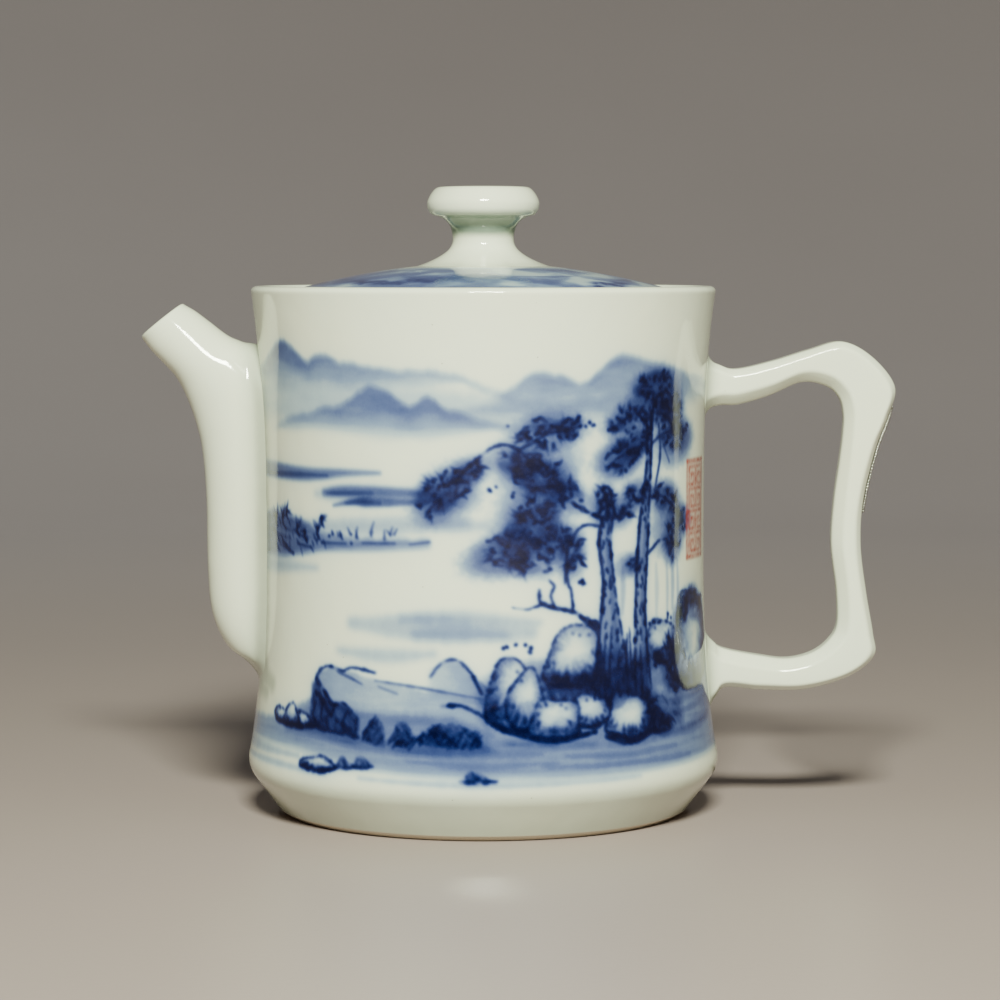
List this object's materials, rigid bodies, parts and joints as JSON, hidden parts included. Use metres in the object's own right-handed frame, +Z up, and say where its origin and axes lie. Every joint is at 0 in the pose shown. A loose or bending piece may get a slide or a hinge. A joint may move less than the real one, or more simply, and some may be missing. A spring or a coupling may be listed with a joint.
{
  "type": "porcelain teapot",
  "caption": "Blue-and-white porcelain teapot with a waisted mug-shaped body, a short spout luted to the wall, a bevelled loop handle and an inset domed lid.",
  "frame": {"origin": "middle of the footprint of the overall box, on the surface the pot stands on", "axes": "+Z up along the pot's axis, +X towards the handle, -X towards the spout"},
  "size_m": [0.1328, 0.0834, 0.1104],
  "materials": {
    "painted_porcelain": "greenish white glaze over a cobalt-blue ink-wash landscape, unglazed foot ring",
    "plain_porcelain": "glossy greenish white glaze, pooling greener in the creases",
    "lid_porcelain": "glossy greenish white glaze with pale cobalt washes",
    "granulated_silver": "darkened silver, covered in fine granulation"
  },
  "bodies": {
    "pot": {"pot_body": "painted_porcelain", "spout": "plain_porcelain", "strainer": "plain_porcelain", "handle": "plain_porcelain", "handle_ornament": "granulated_silver"},
    "lid": {"lid_disc": "lid_porcelain", "lid_flange": "plain_porcelain", "lid_knob": "plain_porcelain"}
  },
  "joints": [
    {"name": "lid_lift", "type": "slide", "parent": "pot", "child": "lid", "axis": [0, 0, 1], "range_m": [0, 0.06]}
  ]
}
